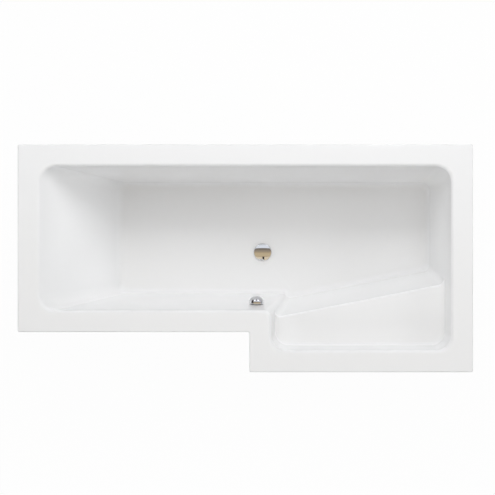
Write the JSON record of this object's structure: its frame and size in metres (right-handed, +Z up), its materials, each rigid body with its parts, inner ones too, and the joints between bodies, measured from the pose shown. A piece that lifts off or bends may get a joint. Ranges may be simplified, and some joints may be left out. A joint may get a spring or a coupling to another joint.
{
  "type": "L-shaped shower bath",
  "caption": "Acrylic shower bath with a wide square shower end, a moulded shelf with a slanted edge, a sloping backrest, a cradle on adjustable feet and a knob-driven pop-up waste.",
  "frame": {"origin": "on the floor, under the middle of the rim's bounding rectangle", "axes": "+X to the wide shower end, +Y to the wall behind the bath, +Z up"},
  "size_m": [1.7, 0.85, 0.56],
  "materials": {
    "acrylic": "glossy white sanitary acrylic",
    "board": "raw chipboard",
    "batten": "sawn softwood",
    "zinc_steel": "zinc-plated steel",
    "screw_steel": "bright zinc-plated steel",
    "foot_plastic": "moulded black plastic",
    "chrome": "polished chrome",
    "seal_rubber": "soft black rubber",
    "grey_plastic": "moulded grey plastic",
    "dark_plastic": "moulded black plastic",
    "white_plastic": "moulded white plastic",
    "hose_plastic": "ribbed off-white plastic",
    "brass": "turned brass"
  },
  "bodies": {
    "bath": {"tub_shell": "acrylic", "base_board": "board", "rear_batten": "batten", "end_batten": "batten", "shower_batten": "batten", "front_batten": "batten", "side_batten": "batten", "step_batten": "batten", "head_cradle_bar": "zinc_steel", "shower_cradle_bar": "zinc_steel", "middle_bracket": "zinc_steel", "cradle_screws": "screw_steel", "lock_nuts": "screw_steel", "wall_brackets": "zinc_steel", "bracket_screws": "screw_steel", "waste_flange": "chrome", "waste_upper_seal": "seal_rubber", "waste_lower_seal": "seal_rubber", "waste_body": "grey_plastic", "clamp_sleeve": "brass", "rocker_cover": "grey_plastic", "overflow_rosette": "chrome", "overflow_seal": "seal_rubber", "overflow_body": "grey_plastic", "rosette_screws": "screw_steel", "cable_drum_case": "grey_plastic", "overflow_hose": "hose_plastic", "hose_clips": "zinc_steel", "pull_cable": "dark_plastic", "cable_clips": "dark_plastic", "trap_body": "white_plastic", "trap_nut": "white_plastic", "trap_washer": "seal_rubber", "cleaning_plug": "grey_plastic", "outlet_nut": "white_plastic", "outlet_seal": "seal_rubber"},
    "foot_1": {"foot_rod_1": "screw_steel", "foot_pad_1": "foot_plastic"},
    "foot_2": {"foot_rod_2": "screw_steel", "foot_pad_2": "foot_plastic"},
    "foot_3": {"foot_rod_3": "screw_steel", "foot_pad_3": "foot_plastic"},
    "foot_4": {"foot_rod_4": "screw_steel", "foot_pad_4": "foot_plastic"},
    "foot_5": {"foot_rod_5": "screw_steel", "foot_pad_5": "foot_plastic"},
    "knob": {"overflow_knob": "chrome", "knob_spindle": "screw_steel"},
    "plug": {"plug_cap": "chrome", "plug_seal": "seal_rubber", "plug_stem": "screw_steel"},
    "rocker": {"lift_rocker": "dark_plastic"}
  },
  "joints": [
    {"name": "foot_1_height", "type": "slide", "parent": "bath", "child": "foot_1", "axis": [0, 0, 1], "range_m": [-0.015, 0.008]},
    {"name": "foot_2_height", "type": "slide", "parent": "bath", "child": "foot_2", "axis": [0, 0, 1], "range_m": [-0.015, 0.008]},
    {"name": "foot_3_height", "type": "slide", "parent": "bath", "child": "foot_3", "axis": [0, 0, 1], "range_m": [-0.015, 0.008]},
    {"name": "foot_4_height", "type": "slide", "parent": "bath", "child": "foot_4", "axis": [0, 0, 1], "range_m": [-0.015, 0.008]},
    {"name": "foot_5_height", "type": "slide", "parent": "bath", "child": "foot_5", "axis": [0, 0, 1], "range_m": [-0.015, 0.008]},
    {"name": "knob_turn", "type": "hinge", "parent": "bath", "child": "knob", "pos_m": [0.042, -0.17534, 0.422], "axis": [0, 0.99, 0.1411], "range_deg": [0, 90]},
    {"name": "plug_lift", "type": "slide", "parent": "bath", "child": "plug", "axis": [0, 0, 1], "range_m": [0, 0.01]},
    {"name": "rocker_turn", "type": "hinge", "parent": "bath", "child": "rocker", "pos_m": [0.067, 0.042, 0.097], "axis": [-1, 0, 0], "range_deg": [0, 23.5]}
  ],
  "couplings": [
    {"joint": "plug_lift", "follows": "knob_turn", "m_per_rad": 0.006366},
    {"joint": "rocker_turn", "follows": "knob_turn", "ratio": 0.261}
  ]
}
